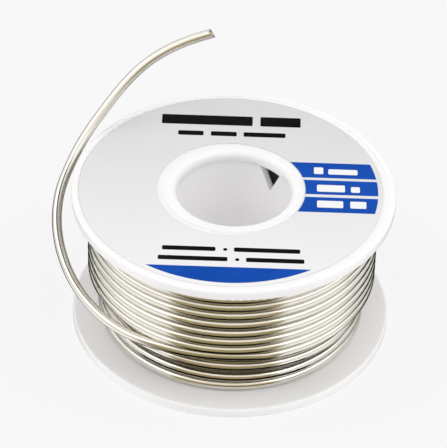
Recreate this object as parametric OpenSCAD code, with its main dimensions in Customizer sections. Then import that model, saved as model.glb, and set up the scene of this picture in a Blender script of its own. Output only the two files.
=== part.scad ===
// Spool of soft solder wire.
// A hollow moulded hub carries two flanges. A paper label sits in a shallow
// recess in the upper flange. One flux-cored wire is anchored in the hub, wound
// in three layers, and leaves the outer layer as a springy free end.
// Millimetres, +Z up along the spool's axis, origin at the middle of the underside.

/* [Spool] */
// Diameter of both flanges
flange_d = 65; // [64:0.5:66]
// Height over both flanges
spool_h = 32.5; // [32:0.5:33.5]
// Thickness of each flange
flange_t = 2.2; // [1.8:0.1:2.4]
// Diameter of the spindle bore
bore_d = 23.2; // [20:0.2:24]
// Diameter of the drum that the wire is wound on
drum_d = 46.4; // [44:0.2:46.4]
// Thickness of the drum, the bore sleeve and the ribs between them
wall = 1.4; // [1:0.1:1.8]
// Number of ribs that join the sleeve to the drum
ribs = 4; // [4:4:8]

/* [Notches] */
// Direction of the V notch in the bore sleeve, in degrees from +X towards +Y
notch_angle = 51; // [40:1:60]
// Width of the V notch where the flange closes it
notch_w = 5.2; // [3:0.1:6]
// Depth of the V notch below the flange
notch_depth = 5.4; // [3:0.1:8]
// Width of the slot in the drum that lets the wire's first end through
slot_w = 4.6; // [3:0.1:6]

/* [Label] */
// Outer diameter of the label
label_d = 60.9; // [58:0.1:60.9]
// Diameter of the hole in the label
label_hole_d = 29.8; // [29.6:0.1:32]
// Thickness of the label
label_t = 0.15; // [0.1:0.01:0.2]
// How far the label is stuck on off centre, along X
label_shift = -0.6; // [-0.6:0.1:0.6]

/* [Wire] */
// Diameter of the solder wire
wire_d = 2; // [1.8:0.1:2]
// Diameter of the flux core inside the wire
core_d = 0.76; // [0.5:0.02:1]
// Radial distance from one layer of wire to the next
layer_step = 2.05; // [1.8:0.05:2.1]
// Height of one turn in the outer layer
outer_pitch = 2.12; // [2.1:0.01:2.19]
// Whole turns in the outer layer, which doesn't fill the drum
outer_turns = 8; // [5:1:8]

/* [Hidden] */

flange_r = flange_d / 2;
bore_r = bore_d / 2;
drum_r = drum_d / 2;
drum_inner_r = drum_r - wall;
sleeve_r = bore_r + wall;
wire_r = wire_d / 2;
hub_h = spool_h - 2 * flange_t;
hub_top = spool_h - flange_t;

// flange details
rim_round = 0.5;         // rounding of the flange's outer edge
mouth_round = 1;         // rounding of the bore's mouth
recess_depth = 0.2;      // label recess
recess_r_in = 14.2;
recess_r_out = 31.1;
register_h = 1.5;        // ring under the flange that centres it in the drum
register_t = 1.4;
register_gap = 0.05;     // clearance between that ring and the drum
register_opening = 7;    // width of the two gaps in that ring
rib_short = register_h + 0.1;
slot_depth = 2.4;
start_r = 15;            // how far in the wire's first end reaches
eps = 0.01;

// outer radius of a layer of wire
function layer_r(n) = drum_r + wire_d + (n - 1) * layer_step;
// height of the wire's centre where the outer layer ends
last_turn_z = hub_top - wire_r - outer_pitch * outer_turns;

// the wire lifts off the outer layer at this angle
lift_angle = 250;
// steps that follow the last turn's slope
last_turn_steps = 3;
last_turn_step_angle = 110;

// The free wire runs from the lift-off point in a rising arc round the spool.
// A smooth curve passes close by each of these points.
route = [
    [-9.7, -26.6, 12.3],
    [-16, -24.6, 12.3],
    [-22, -21.6, 12.7],
    [-27, -17, 13.5],
    [-31.5, -11.5, 15.5],
    [-34.5, -5.5, 18.5],
    [-36, 0.5, 22],
    [-35.5, 6.5, 25.5],
    [-33.5, 11.5, 28.5],
    [-31, 16, 32],
    [-27, 20.5, 36],
    [-23, 24.5, 40],
    [-18, 27.5, 44],
    [-11.5, 29.5, 47],
    [-5.5, 30, 49],
];
// rings of the tube per stretch of the route, and sides of the tube
rings_per_stretch = 2;
tube_sides = 8;

// ---- curve along the route: a uniform cubic B-spline that starts and ends on it ----

last = len(route) - 1;
ends = concat([2 * route[0] - route[1]], route, [2 * route[last] - route[last - 1]]);

function spline_point(i, t) = (
    pow(1 - t, 3) * ends[i]
    + (3 * pow(t, 3) - 6 * t * t + 4) * ends[i + 1]
    + (-3 * pow(t, 3) + 3 * t * t + 3 * t + 1) * ends[i + 2]
    + pow(t, 3) * ends[i + 3]) / 6;

centres = concat(
    [for (i = [0 : last - 1], k = [0 : rings_per_stretch - 1])
        spline_point(i, k / rings_per_stretch)],
    [spline_point(last - 1, 1)]);
rings = len(centres);

function unit(v) = v / norm(v);
// the first ring stands in the radial plane where the last turn ends
function direction(i) =
    i == 0 ? [sin(lift_angle), -cos(lift_angle), 0]
    : i == rings - 1 ? unit(centres[i] - centres[i - 1])
    : unit(centres[i + 1] - centres[i - 1]);
function side_way(i) = unit(cross(direction(i), [0, 0, 1]));
function ring_points(i, r) =
    let (u = side_way(i), v = cross(u, direction(i)))
    [for (k = [0 : tube_sides - 1])
        let (a = 360 * k / tube_sides) centres[i] + r * (cos(a) * u + sin(a) * v)];

// the two triangles between neighbouring points of neighbouring rings
function skin(first, flip) = [
    for (i = [0 : rings - 2], k = [0 : tube_sides - 1])
        let (
            a = first + i * tube_sides + k,
            b = first + i * tube_sides + (k + 1) % tube_sides,
            quad = flip ? [a, b, b + tube_sides, a + tube_sides]
                : [a, a + tube_sides, b + tube_sides, b])
        each [[quad[0], quad[1], quad[2]], [quad[0], quad[2], quad[3]]]
];

// ---- mouldings ----

// half section of a flange that lies face down at z = 0
module flange_section() {
    difference() {
        union() {
            translate([bore_r, mouth_round]) square([mouth_round, flange_t - mouth_round]);
            translate([bore_r + mouth_round, 0])
                square([flange_r - rim_round - bore_r - mouth_round, flange_t]);
            translate([flange_r - rim_round - eps, rim_round])
                square([rim_round + eps, flange_t - 2 * rim_round]);
            intersection() {
                translate([bore_r + mouth_round, mouth_round]) circle(r = mouth_round, $fn = 48);
                translate([bore_r, 0]) square([mouth_round + eps, mouth_round + eps]);
            }
            for (z = [rim_round, flange_t - rim_round])
                translate([flange_r - rim_round, z]) circle(r = rim_round, $fn = 48);
        }
        translate([recess_r_in, -eps]) square([recess_r_out - recess_r_in, recess_depth + eps]);
    }
}

// one flange moulding, face down, with its centring ring on top
module flange() {
    rotate_extrude($fn = 128) flange_section();
    register_r = drum_inner_r - register_gap;
    difference() {
        translate([0, 0, flange_t - eps]) cylinder(r = register_r, h = register_h + eps, $fn = 128);
        translate([0, 0, flange_t - 2 * eps])
            cylinder(r = register_r - register_t, h = register_h + 4 * eps, $fn = 128);
        for (a = [notch_angle, notch_angle + 180]) rotate(a)
            translate([0, -register_opening / 2, flange_t])
                cube([flange_r, register_opening, register_h + 1]);
    }
}

module bottom_flange() {
    color("whitesmoke") flange();
}

module top_flange() {
    color("whitesmoke") translate([0, 0, spool_h]) mirror([0, 0, 1]) flange();
}

// a plain tube as long as the hub
module hub_tube(r_out, r_in) {
    difference() {
        cylinder(r = r_out, h = hub_h, $fn = 128);
        translate([0, 0, -1]) cylinder(r = r_in, h = hub_h + 2, $fn = 128);
    }
}

// inner tube of the hub, with the V notch in its upper end
module bore_sleeve() {
    color("whitesmoke") translate([0, 0, flange_t]) difference() {
        hub_tube(sleeve_r, bore_r);
        rotate(notch_angle) translate([bore_r - wall, 0, hub_h]) rotate([90, 0, 90])
            linear_extrude(3 * wall)
            polygon([[-notch_w / 2, eps], [notch_w / 2, eps], [0, -notch_depth]]);
    }
}

// outer tube of the hub, with the slot for the wire's first end
module drum() {
    color("whitesmoke") translate([0, 0, flange_t]) difference() {
        hub_tube(drum_r, drum_inner_r);
        rotate(notch_angle + 180)
            translate([drum_inner_r - wall, -slot_w / 2, hub_h - slot_depth])
            cube([3 * wall, slot_w, slot_depth + 1]);
    }
}

// webs between the two tubes, cut short where the flanges' rings sit
module hub_ribs() {
    color("whitesmoke") translate([0, 0, flange_t]) intersection() {
        hub_tube(drum_inner_r, sleeve_r);
        for (k = [0 : ribs - 1]) rotate(360 * k / ribs)
            translate([0, -wall / 2, rib_short])
            cube([drum_r, wall, hub_h - 2 * rib_short]);
    }
}

module top_label() {
    color("lightgray") translate([label_shift, 0, spool_h - recess_depth])
        linear_extrude(label_t) difference() {
            circle(d = label_d, $fn = 128);
            circle(d = label_hole_d, $fn = 128);
        }
}

// ---- wire ----

// first end of the wire, inside the hub, up to the first layer
module wire_start() {
    color("silver") intersection() {
        rotate(notch_angle + 180) translate([start_r, 0, hub_top - wire_r])
            rotate([0, 90, 0]) cylinder(r = wire_r, h = drum_r - start_r + 1, $fn = 32);
        cylinder(r = drum_r, h = spool_h, $fn = 128);
    }
}

// outer shape of a layer of turns between two heights
module layer_ring(n, z_low, z_high) {
    r_in = n == 1 ? drum_r : layer_r(n - 1);
    translate([0, 0, z_low]) difference() {
        cylinder(r = layer_r(n), h = z_high - z_low, $fn = 128);
        translate([0, 0, -1]) cylinder(r = r_in, h = z_high - z_low + 2, $fn = 128);
    }
}

module winding_layer_1() {
    color("silver") layer_ring(1, flange_t, hub_top);
}

module winding_layer_2() {
    color("darkgray") layer_ring(2, flange_t, hub_top);
}

// wedge between two directions, wide enough to cut any ring
module wedge(from_angle, to_angle, h) {
    reach = 2 * flange_d;
    middle = (from_angle + to_angle) / 2;
    linear_extrude(h) polygon(concat([[0, 0]],
        [for (a = [from_angle, middle, to_angle]) reach * [cos(a), sin(a)]]));
}

// The last turn slopes down to the lift-off point: steps that rise with the angle
// are cut from the ring's underside, the highest just beyond that point.
module winding_layer_3() {
    ring_z = last_turn_z - wire_r;
    step_h = outer_pitch / last_turn_steps;
    color("silver") difference() {
        layer_ring(3, ring_z, hub_top);
        for (k = [1 : last_turn_steps])
            translate([0, 0, ring_z - 1])
                wedge(lift_angle + k * last_turn_step_angle,
                    lift_angle + min(360, (k + 1) * last_turn_step_angle), 1 + k * step_h);
    }
}

// the free end: a tube whose hollow holds the flux
module free_wire() {
    outer = [for (i = [0 : rings - 1]) each ring_points(i, wire_r)];
    inner = [for (i = [0 : rings - 1]) each ring_points(i, core_d / 2)];
    n = rings * tube_sides;
    end = (rings - 1) * tube_sides;
    rims = [for (k = [0 : tube_sides - 1]) let (j = (k + 1) % tube_sides)
        each [[k, j, n + j], [k, n + j, n + k],
            [end + j, end + k, n + end + k], [end + j, n + end + k, n + end + j]]];
    color("silver")
        polyhedron(points = concat(outer, inner), faces = concat(skin(0, false), skin(n, true), rims));
}

// flux inside the free end
module flux_core() {
    points = [for (i = [0 : rings - 1]) each ring_points(i, core_d / 2)];
    end = (rings - 1) * tube_sides;
    first_cap = [for (k = [0 : tube_sides - 1]) k];
    last_cap = [for (k = [0 : tube_sides - 1]) end + tube_sides - 1 - k];
    color("goldenrod")
        polyhedron(points = points, faces = concat(skin(0, false), [first_cap, last_cap]));
}

bore_sleeve();
hub_ribs();
drum();
bottom_flange();
top_flange();
top_label();
wire_start();
winding_layer_1();
winding_layer_2();
winding_layer_3();
free_wire();
flux_core();
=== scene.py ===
import math

import bpy
import numpy as np
from mathutils import Matrix, Vector


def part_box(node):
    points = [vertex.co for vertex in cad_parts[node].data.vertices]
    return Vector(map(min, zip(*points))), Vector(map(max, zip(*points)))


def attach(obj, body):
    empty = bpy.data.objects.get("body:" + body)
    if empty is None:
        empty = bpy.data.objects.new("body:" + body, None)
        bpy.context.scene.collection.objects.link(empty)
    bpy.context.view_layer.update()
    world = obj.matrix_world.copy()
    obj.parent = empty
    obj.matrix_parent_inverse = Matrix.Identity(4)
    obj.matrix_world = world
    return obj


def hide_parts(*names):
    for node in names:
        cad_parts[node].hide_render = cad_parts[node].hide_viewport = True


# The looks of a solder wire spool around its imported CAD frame. Lengths are metres, angles
# are degrees counted anticlockwise from +X seen from above.
MM = 0.001
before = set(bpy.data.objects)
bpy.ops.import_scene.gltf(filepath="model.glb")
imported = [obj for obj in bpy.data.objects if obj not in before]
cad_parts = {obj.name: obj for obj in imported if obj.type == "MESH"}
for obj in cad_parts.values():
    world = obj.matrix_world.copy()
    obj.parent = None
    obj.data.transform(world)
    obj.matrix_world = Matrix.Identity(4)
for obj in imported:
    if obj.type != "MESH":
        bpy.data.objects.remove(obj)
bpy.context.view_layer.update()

# ---------------------------------------------------------------- sizes from the frame
WIRE_R = (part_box("wire_start")[1].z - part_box("wire_start")[0].z) / 2
START_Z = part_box("wire_start")[1].z - WIRE_R
LAYERS = ("winding_layer_1", "winding_layer_2", "winding_layer_3")
LAYER_R = [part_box(n)[1].x - WIRE_R for n in LAYERS]
LOW_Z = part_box(LAYERS[1])[0].z + WIRE_R
HIGH_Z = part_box(LAYERS[1])[1].z - WIRE_R
TOP_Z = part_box("top_flange")[1].z
FLANGE_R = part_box("top_flange")[1].x
LABEL_LOW, LABEL_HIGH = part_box("top_label")
LABEL_X = (LABEL_LOW.x + LABEL_HIGH.x) / 2
LABEL_R = (LABEL_HIGH.x - LABEL_LOW.x) / 2

# ---------------------------------------------------------------- the wire's course
START_AZ = 231                 # the wire comes out of the drum here
START_R = 15 * MM              # and begins inside the hub, this far from the axis
START_BEND = 3 * MM
LAYER_1_TURNS = 10             # whole turns; the rest of a turn ends at BACK_AZ
LAYER_2_TURNS = 11
LAYER_3_FRONT_Z = (29.3, 27.25, 25.2, 23.1, 20.85, 18.6, 16.45, 14.4, 12.3)   # mm, turn by turn
LAYER_2_FRONT_Z = (3.2, 5.45, 9.2, 11.2)      # mm, its first four turns
BACK_AZ, FRONT_AZ = 90, -90
LIFT_AZ = -110                 # here the last turn leaves the winding
PROUD_TURN, PROUD_BY = 2, 0.9 * MM     # this turn of layer 2 bulges out at the front,
PROUD_FLAT, PROUD_HALF = 0.12, 0.25    # fully within and at all within this part of a turn
LEVEL_TURNS = 0.3              # layer 1 ends with this part of a turn along the bottom
CLIMB_TURNS = 0.08             # a climb to the next layer takes this part of a turn
RINGS_PER_TURN = 72
TUBE_SIDES = 20
CORE_R, CORE_SIDES = 0.38 * MM, 14
LEG_STEPS, BEND_STEPS = 7, 10
# rings of the cut end, in wire radii: radius, and depth below the cut
END_RINGS = ((1.0, 0), (0.97, -0.02), (0.9, 0.0), (0.45, 0.02), (0.38, 0.08), (0.38, 3))
CUT_SLANT = 17
FREE_ROUTE = [(x * MM, y * MM, z * MM) for x, y, z in (
    (-9.7, -26.6, 12.3), (-16, -24.6, 12.3), (-22, -21.6, 12.7), (-27, -17, 13.5),
    (-31.5, -11.5, 15.5), (-34.5, -5.5, 18.5), (-35.92, 0.5, 22), (-35.5, 6.5, 25.5),
    (-33.5, 11.5, 28.5), (-31, 16, 32), (-27, 20.5, 36), (-23, 24.5, 40), (-18, 27.5, 44),
    (-11.5, 29.5, 47), (-5.5, 30, 49))]
STEPS_PER_STRETCH = 9

# ---------------------------------------------------------------- the surroundings
FLOOR_GLOW, FLOOR_HALF = 0.82, 6     # the floor is a lit pale panel
DOME_R = 1.5
AHEAD_HALF, AHEAD_SHIFT, AHEAD_SOFT = 41, 2.5, 2    # the dim sector towards the camera
BEHIND_FROM, BEHIND_SOFT = 102, 13                  # the sector at the back


# ================================================================ camera
def make_camera():
    """The photograph's view: 38 degrees above the horizon, from half a metre off."""
    distance, height, lens = 543.6 * MM, 38.05, 218.57
    yaw, pitch, roll = (math.radians(a) for a in (-0.25, 38.816, 1.761))
    e = math.radians(height)
    place = Vector((0, -math.cos(e), math.sin(e))) * distance + Vector((0, 0, TOP_Z))
    ahead = Vector((math.sin(yaw) * math.cos(pitch), math.cos(yaw) * math.cos(pitch),
                    -math.sin(pitch)))
    side = Vector((math.cos(yaw), -math.sin(yaw), 0))
    up = side.cross(ahead)
    right = side * math.cos(roll) + up * math.sin(roll)
    top = up * math.cos(roll) - side * math.sin(roll)
    camera = bpy.data.objects.new("camera", bpy.data.cameras.new("camera"))
    bpy.context.scene.collection.objects.link(camera)
    camera.data.sensor_width, camera.data.lens = 36, lens
    camera.data.clip_start, camera.data.clip_end = 0.01, 20
    turn = Matrix((right, top, -ahead)).transposed().to_4x4()
    camera.matrix_world = Matrix.Translation(place) @ turn
    bpy.context.scene.camera = camera


# ================================================================ mesh helpers
def add_mesh(name, verts, faces, materials, face_material=None, smooth=True, crease=35):
    mesh = bpy.data.meshes.new(name)
    mesh.from_pydata([tuple(v) for v in verts], [], faces)
    for material in materials:
        mesh.materials.append(material)
    if face_material is not None:
        mesh.polygons.foreach_set("material_index", face_material)
    mesh.polygons.foreach_set("use_smooth", [smooth] * len(mesh.polygons))
    mesh.validate()
    if smooth:
        mesh.set_sharp_from_angle(angle=math.radians(crease))
    obj = bpy.data.objects.new(name, mesh)
    bpy.context.scene.collection.objects.link(obj)
    return obj


def directions(points):
    """Unit tangents of a line of points."""
    t = np.gradient(points, axis=0)
    return t / np.linalg.norm(t, axis=1)[:, None]


def carried_frames(points):
    """Tangent and two normals at each point, turned as little as possible along the line."""
    t = directions(points)
    n = np.empty_like(t)
    first = np.cross(t[0], (0, 0, 1))
    n[0] = first / np.linalg.norm(first)
    for i in range(1, len(t)):
        v = n[i - 1] - t[i] * (n[i - 1] @ t[i])
        n[i] = v / np.linalg.norm(v)
    return t, n, np.cross(t, n)


def along(points):
    """Distance along the line at each point."""
    return np.r_[0, np.cumsum(np.linalg.norm(np.diff(points, axis=0), axis=1))]


# ================================================================ the wire
def smoothed(values, reach):
    """Moving average over reach samples to either side, with the ends kept."""
    padded = np.r_[[values[0]] * reach, values, [values[-1]] * reach]
    return np.convolve(padded, np.ones(2 * reach + 1) / (2 * reach + 1), "valid")


def start_leg():
    """Out of the hub along a radius, then round a small bend to lie along the drum."""
    bend_at = math.sqrt((LAYER_R[0] - START_BEND) ** 2 - START_BEND ** 2)
    swing = math.asin(START_BEND / (LAYER_R[0] - START_BEND))
    legs = [(r, 0) for r in np.linspace(START_R, bend_at, LEG_STEPS + 1)[:-1]]
    for a in np.linspace(0, math.pi / 2 - swing, BEND_STEPS):
        legs.append((bend_at + START_BEND * math.sin(a), START_BEND * (1 - math.cos(a))))
    az = math.radians(START_AZ)
    out, across = np.array((math.cos(az), math.sin(az))), np.array((math.sin(az), -math.cos(az)))
    flat = [out * x + across * y for x, y in legs]
    return np.array([(*p, START_Z) for p in flat]), START_AZ - math.degrees(swing)


def winding(from_az):
    """Three layers wound clockwise: down the drum, up over that, and partly down again."""
    end_1 = LAYER_1_TURNS + (from_az - BACK_AZ) / 360
    first_front_2 = end_1 + (BACK_AZ - FRONT_AZ) / 360
    end_2 = first_front_2 + LAYER_2_TURNS
    end_3 = end_2 + len(LAYER_3_FRONT_Z) - 1 + (FRONT_AZ - LIFT_AZ) / 360
    proud = first_front_2 + PROUD_TURN
    radius = [(0, LAYER_R[0]), (end_1 - CLIMB_TURNS, LAYER_R[0]), (end_1, LAYER_R[1]),
              (proud - PROUD_HALF, LAYER_R[1]), (proud - PROUD_FLAT, LAYER_R[1] + PROUD_BY),
              (proud + PROUD_FLAT, LAYER_R[1] + PROUD_BY), (proud + PROUD_HALF, LAYER_R[1]),
              (end_2 - CLIMB_TURNS, LAYER_R[1]), (end_2, LAYER_R[2]), (end_3, LAYER_R[2])]
    height = [(0, START_Z), (end_1 - LEVEL_TURNS, LOW_Z), (end_1, LOW_Z)]
    height += [(first_front_2 + k, z * MM) for k, z in enumerate(LAYER_2_FRONT_Z)]
    height += [(end_2, HIGH_Z)]
    height += [(end_2 + k, z * MM) for k, z in enumerate(LAYER_3_FRONT_Z) if k]
    height += [(end_3, LAYER_3_FRONT_Z[-1] * MM)]
    turns = np.linspace(0, end_3, round(end_3 * RINGS_PER_TURN) + 1)
    r = smoothed(np.interp(turns, *zip(*radius)), 2)
    z = smoothed(np.interp(turns, *zip(*height)), RINGS_PER_TURN // 8)
    az = np.radians(from_az - 360 * turns)
    return np.c_[r * np.cos(az), r * np.sin(az), z]


def free_end():
    """A uniform cubic B-spline through the route's neighbourhood that meets its two ends."""
    p = np.array(FREE_ROUTE)
    p = np.vstack([2 * p[0] - p[1], p, 2 * p[-1] - p[-2]])
    line = []
    for i in range(len(p) - 3):
        for t in np.arange(STEPS_PER_STRETCH) / STEPS_PER_STRETCH:
            weights = ((1 - t) ** 3, 3 * t ** 3 - 6 * t ** 2 + 4,
                       3 * t ** 2 + 3 * t + 1 - 3 * t ** 3, t ** 3)
            line.append(np.array(weights) @ p[i:i + 4] / 6)
    return np.array(line + [p[-2]])


def wire_line():
    leg, az = start_leg()
    coil, tail = winding(az), free_end()
    line = np.vstack([leg[:-1], coil, tail[1:]])
    join, reach, rounds = len(leg) - 1 + len(coil) - 1, 6, 12
    for _ in range(rounds):        # the last turn runs into the free end without a kink
        part = line[join - reach - 1:join + reach + 2]
        line[join - reach:join + reach + 1] = (part[:-2] + 2 * part[1:-1] + part[2:]) / 4
    return line


def tube_verts(points, radius, sides):
    t, n, b = carried_frames(points)
    a = np.arange(sides) * 2 * math.pi / sides
    ring = np.cos(a)[:, None] * n[:, None] + np.sin(a)[:, None] * b[:, None]
    return points[:, None] + ring * radius


def quads(first, rings, sides):
    """Faces of a tube whose rings of vertices start at number first."""
    return [(first + i * sides + j, first + i * sides + (j + 1) % sides,
             first + (i + 1) * sides + (j + 1) % sides, first + (i + 1) * sides + j)
            for i in range(rings - 1) for j in range(sides)]


def wire_end(points):
    """Rings that close the wire's cut end: a small burr, the face, and the core's hollow."""
    end = points[-1]
    t, n, b = (vectors[-1] for vectors in carried_frames(points))
    down = np.array((0.5, -0.3, -0.8))
    a = np.arange(TUBE_SIDES) * 2 * math.pi / TUBE_SIDES
    spread = np.cos(a)[:, None] * n + np.sin(a)[:, None] * b
    slant = spread @ down * math.tan(math.radians(CUT_SLANT))
    rings, deepest = [], END_RINGS[-1][1]
    for radius, depth in END_RINGS:
        lean = slant[:, None] * radius * min(1, max(0, 1 - depth / deepest))
        rings.append(end + spread * radius * WIRE_R + t * (lean - depth) * WIRE_R)
    return rings


def mark_drawn(wire, far):
    """Gives each point its place round the wire and its distance along it, for the looks."""
    a = np.arange(TUBE_SIDES) * 2 * math.pi / TUBE_SIDES
    drawn = np.stack([np.tile(np.cos(a), len(far)), np.tile(np.sin(a), len(far)),
                      np.repeat(far, TUBE_SIDES)], axis=1).astype(np.float32)
    layer = wire.data.attributes.new("drawn", "FLOAT_VECTOR", "POINT")
    layer.data.foreach_set("vector", drawn.ravel())


def make_wire(material):
    line = wire_line()
    rings = list(tube_verts(line, WIRE_R, TUBE_SIDES)[:-1]) + wire_end(line)
    verts = np.vstack(rings)
    faces = quads(0, len(rings), TUBE_SIDES)
    last = (len(rings) - 1) * TUBE_SIDES
    faces.append(tuple(reversed(range(TUBE_SIDES))))
    faces.append(tuple(range(last, last + TUBE_SIDES)))
    wire = add_mesh("solder_wire", verts, faces, [material], crease=50)
    far = along(line)
    mark_drawn(wire, np.r_[far[:-1], [far[-1]] * len(END_RINGS)])
    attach(wire, "root")
    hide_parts("wire_start", *LAYERS, "free_wire")
    return line


def make_flux(line, material):
    """The rosin core, seen as a dot in the cut end."""
    inner, sunk = line[-8:], 0.06 * MM
    rings = list(tube_verts(inner, CORE_R, CORE_SIDES))
    rings[-1] = rings[-1] - directions(inner)[-1] * sunk
    rings.append((inner[-1] + rings[-1]) / 2)
    verts = np.vstack(rings)
    last = (len(rings) - 1) * CORE_SIDES
    faces = quads(0, len(rings), CORE_SIDES)
    faces += [tuple(reversed(range(CORE_SIDES))), tuple(range(last, last + CORE_SIDES))]
    flux = add_mesh("flux_core_end", verts, faces, [material])
    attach(flux, "root")
    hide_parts("flux_core")


# ================================================================ the label
PAPER, BLUE, DARK, WHITE = range(4)
INK = 0.012 * MM               # each layer of print stands this high
HOLE_R = 14.9 * MM
PANEL_IN, PANEL_OUT = 14.95 * MM, 29.45 * MM
PANELS = ((4.3, 9.2), (-1.1, 3.5), (-6.8, -2.0))      # mm, lower and upper edge
CRESCENT_TOP = -24.7 * MM
# bars that stand for words, in mm from the spool's axis: left, right, lower and upper edge
DARK_BARS = ((-15.3, 3.4, 20.9, 24.1), (5.0, 13.3, 20.9, 24.1),
             (-11.8, -6.6, 17.2, 18.7), (-5.1, 0.2, 17.2, 18.7), (1.6, 10.2, 17.2, 18.7),
             (-13.6, -3.2, -20.0, -18.7), (0.4, 13.3, -20.0, -18.7),
             (-14.3, -0.8, -23.0, -21.7), (2.8, 14.1, -23.0, -21.7))
DOTS, DOT_HALF = ((-1.3, -19.4), (1.1, -22.4)), 0.42
WHITE_BARS = ((16.0, 17.9, 5.5, 7.7), (18.9, 24.8, 5.5, 7.2),
              (16.6, 22.2, -0.2, 2.0), (23.4, 25.2, -0.2, 1.6),
              (16.6, 21.8, -5.3, -3.1), (23.2, 26.4, -5.3, -3.1))


class Plates:
    """Collects thin plates and rings for one mesh with several materials."""

    def __init__(self):
        self.verts, self.faces, self.kinds = [], [], []

    def plate(self, outline, low, high, kind):
        first, n = len(self.verts), len(outline)
        self.verts += [(x, y, low) for x, y in outline] + [(x, y, high) for x, y in outline]
        self.faces.append(tuple(first + n + i for i in range(n)))
        self.faces += [(first + i, first + (i + 1) % n, first + n + (i + 1) % n, first + n + i)
                       for i in range(n)]
        self.kinds += [kind] * (n + 1)

    def ring(self, profile, centre, kind, steps=180):
        first, n = len(self.verts), len(profile)
        for k in range(steps):
            a = 2 * math.pi * k / steps
            self.verts += [(centre + r * math.cos(a), r * math.sin(a), z) for r, z in profile]
        for k in range(steps):
            here, there = first + k * n, first + (k + 1) % steps * n
            self.faces += [(here + i, there + i, there + (i + 1) % n, here + (i + 1) % n)
                           for i in range(n)]
        self.kinds += [kind] * (n * steps)


def arc(radius, low, high, steps=14):
    """Points on the right half of a circle, evenly spaced from one height to another."""
    a0, a1 = math.asin(low / radius), math.asin(high / radius)
    return [(radius * math.cos(a), radius * math.sin(a)) for a in np.linspace(a0, a1, steps)]


def rounded_bar(left, right, low, high, corner=0.3 * MM, steps=4):
    """Outline of a bar with round corners, anticlockwise."""
    outline = []
    for cx, cy, start in ((right - corner, low + corner, -90), (right - corner, high - corner, 0),
                          (left + corner, high - corner, 90), (left + corner, low + corner, 180)):
        for k in range(steps + 1):
            a = math.radians(start + 90 * k / steps)
            outline.append((cx + corner * math.cos(a), cy + corner * math.sin(a)))
    return outline


def make_label(materials):
    """Ring label of coated paper: blue panels, a blue foot and bars in place of the words."""
    made = Plates()
    low, top = LABEL_LOW.z, LABEL_HIGH.z
    inner, edge = HOLE_R, 0.03 * MM
    made.ring([(inner, low), (LABEL_R, low), (LABEL_R, top - edge), (LABEL_R - edge, top),
               (inner + edge, top), (inner, top - edge)], LABEL_X, PAPER)

    def placed(outline):
        return [(LABEL_X + x, y) for x, y in outline]

    for y0, y1 in PANELS:
        outline = arc(PANEL_OUT, y0 * MM, y1 * MM) + arc(PANEL_IN, y1 * MM, y0 * MM)
        made.plate(placed(outline), top, top + INK, BLUE)
    half = math.sqrt(PANEL_OUT ** 2 - CRESCENT_TOP ** 2)
    a = math.atan2(CRESCENT_TOP, -half), math.atan2(CRESCENT_TOP, half)
    foot = [(PANEL_OUT * math.cos(t), PANEL_OUT * math.sin(t)) for t in np.linspace(*a, 50)]
    made.plate(placed(foot), top, top + INK, BLUE)
    for bar in DARK_BARS:
        made.plate(rounded_bar(*(v * MM for v in bar)), top, top + INK, DARK)
    for x, y in DOTS:
        x, y, s = x * MM, y * MM, DOT_HALF * MM
        made.plate(rounded_bar(x - s, x + s, y - s, y + s, 0.4 * MM), top, top + INK, DARK)
    for bar in WHITE_BARS:
        made.plate(rounded_bar(*(v * MM for v in bar)), top + INK, top + 2 * INK, WHITE)
    label = add_mesh("label", made.verts, made.faces, materials, made.kinds, smooth=False)
    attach(label, "root")
    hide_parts("top_label")


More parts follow.
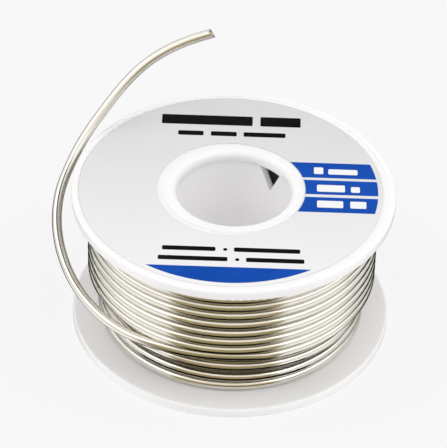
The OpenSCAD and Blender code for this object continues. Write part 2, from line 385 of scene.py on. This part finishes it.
# ================================================================ materials
class Shader:
    """A Principled material and short calls for the nodes that feed it."""

    def __init__(self, name, **values):
        self.material = bpy.data.materials.new(name)
        self.material.use_nodes = True
        self.tree = self.material.node_tree
        self.out = self.tree.nodes["Principled BSDF"]
        for socket, value in values.items():
            self.set(self.out, socket.replace("_", " "), value)
        self.where = self.tree.nodes.new("ShaderNodeTexCoord").outputs["Object"]

    def set(self, node, socket, value):
        if isinstance(value, bpy.types.NodeSocket):
            self.tree.links.new(value, node.inputs[socket])
        else:
            node.inputs[socket].default_value = value

    def node(self, kind, out, settings=(), **values):
        node = self.tree.nodes.new("ShaderNode" + kind)
        for key, value in dict(settings).items():
            setattr(node, key, value)
        for socket, value in values.items():
            self.set(node, socket.replace("_", " "), value)
        return node.outputs[out]

    def math(self, operation, first, second=0.0):
        """One Math node on two values or sockets."""
        node = self.tree.nodes.new("ShaderNodeMath")
        node.operation = operation
        for slot, value in enumerate((first, second)):
            self.set(node, slot, value)
        return node.outputs[0]

    def noise(self, scale, detail=3.0, roughness=0.5, where=None):
        where = self.where if where is None else where
        return self.node("TexNoise", "Fac", Vector=where, Scale=scale, Detail=detail,
                         Roughness=roughness)

    def part(self, axis):
        """One coordinate of the surface point."""
        return self.node("SeparateXYZ", axis, Vector=self.where)

    def ramp(self, factor, stops):
        """Colour against an angle from -90 to 90 degrees that arrives as 0 to 1."""
        node = self.tree.nodes.new("ShaderNodeValToRGB")
        self.tree.links.new(factor, node.inputs[0])
        marks = node.color_ramp.elements
        while len(marks) < len(stops):
            marks.new(0.5)
        for mark, (angle, colour) in zip(marks, stops):
            mark.position = (angle + 90) / 180
            mark.color = (*colour, 1)
        return node.outputs[0]

    def spread(self, factor, low, high, start=0.35, end=0.65):
        """Maps the factor's middle stretch to the range from low to high."""
        return self.node("MapRange", "Result", Value=factor, From_Min=start, From_Max=end,
                         To_Min=low, To_Max=high)

    def tint(self, factor, first, second):
        mix = self.tree.nodes.new("ShaderNodeMix")
        mix.data_type = "RGBA"
        for socket, value in (("Factor", factor), ("A", first), ("B", second)):
            found = [s for s in mix.inputs if s.name == socket and
                     s.type == ("VALUE" if socket == "Factor" else "RGBA")][0]
            if isinstance(value, bpy.types.NodeSocket):
                self.tree.links.new(value, found)
            else:
                found.default_value = value if socket == "Factor" else (*value, 1)
        return [s for s in mix.outputs if s.type == "RGBA"][0]

    def bump(self, height, distance, strength=1.0):
        normal = self.node("Bump", "Normal", Height=height, Distance=distance,
                           Strength=strength)
        self.set(self.out, "Normal", normal)

    def stretched(self, source, scale):
        return self.node("Mapping", "Vector", Vector=source, Scale=scale)

    def drive(self, **values):
        for socket, value in values.items():
            self.set(self.out, socket.replace("_", " "), value)
        return self.material


def plastic():
    """Injection-moulded white polystyrene: satin, with faint flow marks and handling."""
    s = Shader("spool_plastic_white", IOR=1.5, Subsurface_Weight=0.35,
               Subsurface_Radius=(0.0035, 0.003, 0.0024), Subsurface_Scale=1.0)
    broad, fine = s.noise(45, 2), s.noise(1400, 2)
    scuffs = s.noise(1, 4, 0.6, s.stretched(s.where, (260, 900, 400)))
    base = s.tint(s.spread(broad, 0, 1), (0.95, 0.93, 0.925), (0.965, 0.946, 0.942))
    s.bump(fine, 0.00001, 0.5)
    rough = s.math("ADD", s.spread(broad, 0.3, 0.38), s.spread(scuffs, 0, 0.08, 0.5, 0.75))
    return s.drive(Base_Color=base, Roughness=rough)


def paper():
    """Coated paper, whiter at the front than at the back."""
    s = Shader("label_coated_paper", IOR=1.45, Specular_IOR_Level=0.3)
    broad, fibre = s.noise(60, 3), s.noise(2600, 3, 0.6)
    fade = s.spread(s.part("Y"), 0, 1, -0.03, 0.026)
    tone = s.tint(fade, (0.85, 0.85, 0.86), (0.66, 0.66, 0.665))
    base = s.tint(s.spread(broad, 0, 0.12), tone, (0.9, 0.9, 0.9))
    s.bump(fibre, 0.000006, 0.6)
    return s.drive(Base_Color=base, Roughness=s.spread(fibre, 0.34, 0.44))


def ink(name, first, second):
    """Printed ink: slightly uneven, with pinholes where the paper shows."""
    s = Shader(name, IOR=1.5, Specular_IOR_Level=0.01)
    broad, fine = s.noise(80, 3), s.noise(5200, 2, 0.7)
    base = s.tint(s.spread(broad, 0, 1), first, second)
    holes = s.spread(fine, 0, 0.03, 0.62, 0.75)
    base = s.tint(holes, base, (0.8, 0.8, 0.82))
    s.bump(s.noise(2600, 3, 0.6), 0.000005, 0.5)
    return s.drive(Base_Color=base, Roughness=s.spread(broad, 0.3, 0.4))


def solder():
    """Bright drawn tin-copper wire: fine lines along it and patches of dull tarnish."""
    s = Shader("solder_drawn", Metallic=1.0)
    drawn = s.node("Attribute", "Vector", {"attribute_name": "drawn"})
    lines = s.noise(1, 3, 0.6, s.stretched(drawn, (9, 9, 14)))
    patches = s.noise(1, 4, 0.55, s.stretched(drawn, (1.2, 1.2, 130)))
    base = s.tint(s.spread(patches, 0, 1, 0.4, 0.7), (0.8, 0.78, 0.735), (0.72, 0.695, 0.63))
    s.bump(lines, 0.000015, 0.25)
    rough = s.math("ADD", s.spread(lines, 0.1, 0.17), s.spread(patches, 0, 0.08, 0.45, 0.7))
    return s.drive(Base_Color=base, Roughness=rough)


def rosin():
    """Cloudy amber flux."""
    s = Shader("flux_rosin", IOR=1.53)
    cloud = s.noise(2500, 2)
    base = s.tint(s.spread(cloud, 0, 1), (0.42, 0.22, 0.06), (0.6, 0.36, 0.12))
    s.bump(cloud, 0.00001, 0.4)
    return s.drive(Base_Color=base, Roughness=s.spread(cloud, 0.3, 0.45))


def dress_cad_nodes(material):
    for name in ("bore_sleeve", "hub_ribs", "drum", "bottom_flange", "top_flange"):
        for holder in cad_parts[name].material_slots:
            holder.material = material


# ================================================================ stage and light
def seen_in_gloss_only(obj):
    obj.visible_camera = obj.visible_diffuse = obj.visible_shadow = False
    obj.visible_transmission = obj.visible_volume_scatter = False


def glow_by_direction(name, ahead, sides, behind):
    """Light that depends on where a point lies: ramps from the lowest angle up to the zenith
    for the sector towards the camera, for both sides and for the back."""
    s = Shader(name, Base_Color=(0, 0, 0, 1), Specular_IOR_Level=0.0, Emission_Strength=1.0)
    x, y, z = (s.part(axis) for axis in "XYZ")
    flat = s.math("SQRT", s.math("ADD", s.math("MULTIPLY", x, x), s.math("MULTIPLY", y, y)))
    rise = s.spread(s.math("ARCTAN2", z, flat), 0, 1, -math.pi / 2, math.pi / 2)
    turned = s.math("ARCTAN2", x, s.math("MULTIPLY", y, -1))
    away = s.math("ABSOLUTE", s.math("ADD", turned, math.radians(AHEAD_SHIFT)))

    def sector_edge(angle, soft):
        return s.spread(away, 0, 1, math.radians(angle - soft), math.radians(angle + soft))

    near = s.tint(sector_edge(AHEAD_HALF, AHEAD_SOFT), s.ramp(rise, ahead), s.ramp(rise, sides))
    back = sector_edge(BEHIND_FROM, BEHIND_SOFT)
    return s.drive(Emission_Color=s.tint(back, near, s.ramp(rise, behind)))


def grey(*stops):
    """Stops of a slightly warm grey from pairs of angle and brightness."""
    return [(angle, (v, v * 0.985, v * 0.955)) for angle, v in stops]


def make_dome():
    """The studio as the bright wire reflects it; nothing else sees this ball."""
    rows, columns, hole = 24, 48, 0.001
    verts = [(DOME_R * math.sin(p) * math.cos(a), DOME_R * math.sin(p) * math.sin(a),
              DOME_R * math.cos(p)) for p in np.linspace(hole, math.pi - hole, rows)
             for a in (2 * math.pi * k / columns for k in range(columns))]
    dim = (0.42, 0.34, 0.175)
    bright, gap = (1.05, 1.02, 0.95), (0.1, 0.095, 0.09)
    ahead = [(-90, (0.004, 0.003, 0.002)), (-36, (0.006, 0.005, 0.003)), (-18, dim), (25, dim),
             (37, bright), (68, bright), (77, gap), (90, gap)]
    sides = grey((-90, 0.4), (-60, 0.6), (-36, 1.25), (-12, 1.1), (8, 0.8), (27, 0.9),
                 (34, 1.9), (60, 1.9), (69, 1.1), (77, 0.12), (90, 0.1))
    behind = grey((-90, 0.03), (-70, 0.3), (-48, 0.4), (-38, 0.02), (-18, 0.02), (-2, 0.7),
                  (15, 0.85), (40, 1.1), (68, 1.0), (77, 0.12), (90, 0.1))
    dome = add_mesh("surroundings", verts, quads(0, rows, columns),
                    [glow_by_direction("surroundings", ahead, sides, behind)], smooth=False)
    return dome


def make_low_ring():
    """Covers the bottom flange in the metal's reflections, dark towards the camera."""
    steps, z = 96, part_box("bottom_flange")[1].z + 0.05 * MM
    inner, outer = LAYER_R[1] + WIRE_R + 0.2 * MM, FLANGE_R + 1 * MM
    verts = [(r * math.cos(a), r * math.sin(a), z) for r in (inner, outer)
             for a in (2 * math.pi * k / steps for k in range(steps))]
    ramps = [grey((0, v), (90, v)) for v in (0.005, 0.4, 0.05)]
    ring = add_mesh("low_surroundings", verts, quads(0, 2, steps),
                    [glow_by_direction("low_surroundings", *ramps)], smooth=False)
    return ring


def make_stage():
    lit = Shader("floor_lit", Base_Color=(0.12, 0.12, 0.12, 1), Roughness=0.9,
                 Specular_IOR_Level=0.0, Emission_Color=(1, 1, 1, 1),
                 Emission_Strength=FLOOR_GLOW)
    corners = [(x * FLOOR_HALF, y * FLOOR_HALF, 0) for x, y in ((-1, -1), (1, -1), (1, 1), (-1, 1))]
    floor = add_mesh("floor", corners, [(0, 1, 2, 3)], [lit.material], smooth=False)
    floor.visible_glossy = False
    for obj in (make_dome(), make_low_ring()):
        seen_in_gloss_only(obj)


def softbox(name, place, width, height, radiance):
    """A lamp panel of that radiance, facing the spool and unseen in its gloss."""
    light = bpy.data.lights.new(name, "AREA")
    light.shape, light.size, light.size_y = "RECTANGLE", width, height
    light.energy = radiance * math.pi * width * height
    obj = bpy.data.objects.new(name, light)
    obj.location = place
    obj.rotation_mode = "QUATERNION"
    obj.rotation_quaternion = (Vector((0, 0, 0.03)) - Vector(place)).to_track_quat("-Z", "Y")
    obj.visible_glossy = False
    bpy.context.scene.collection.objects.link(obj)


def make_light():
    """A white tent with soft lamps overhead, in front and low and high on both sides."""
    world = bpy.data.worlds.new("tent")
    world.use_nodes = True
    world.node_tree.nodes["Background"].inputs["Color"].default_value = (1, 1, 1, 1)
    world.node_tree.nodes["Background"].inputs["Strength"].default_value = 0.5
    bpy.context.scene.world = world
    softbox("overhead", (0, -0.05, 0.85), 1.1, 1.1, 0.45)
    softbox("front", (0, -0.75, 0.55), 1.3, 0.35, 0.8)
    for side in (-1, 1):
        softbox("low_side", (side * 0.75, -0.1, 0.15), 0.9, 0.3, 0.5)
        softbox("high_side", (side * 0.65, 0, 0.62), 0.8, 0.5, 1.65)
    bpy.context.scene.view_settings.view_transform = "Standard"


make_camera()
course = make_wire(solder())
make_flux(course, rosin())
make_label([paper(),
            ink("ink_blue", (0.006, 0.067, 0.39), (0.01, 0.081, 0.44)),
            ink("ink_black", (0.003, 0.003, 0.0025), (0.008, 0.008, 0.007)),
            ink("ink_white", (0.86, 0.87, 0.88), (0.9, 0.9, 0.91))])
dress_cad_nodes(plastic())
make_stage()
make_light()
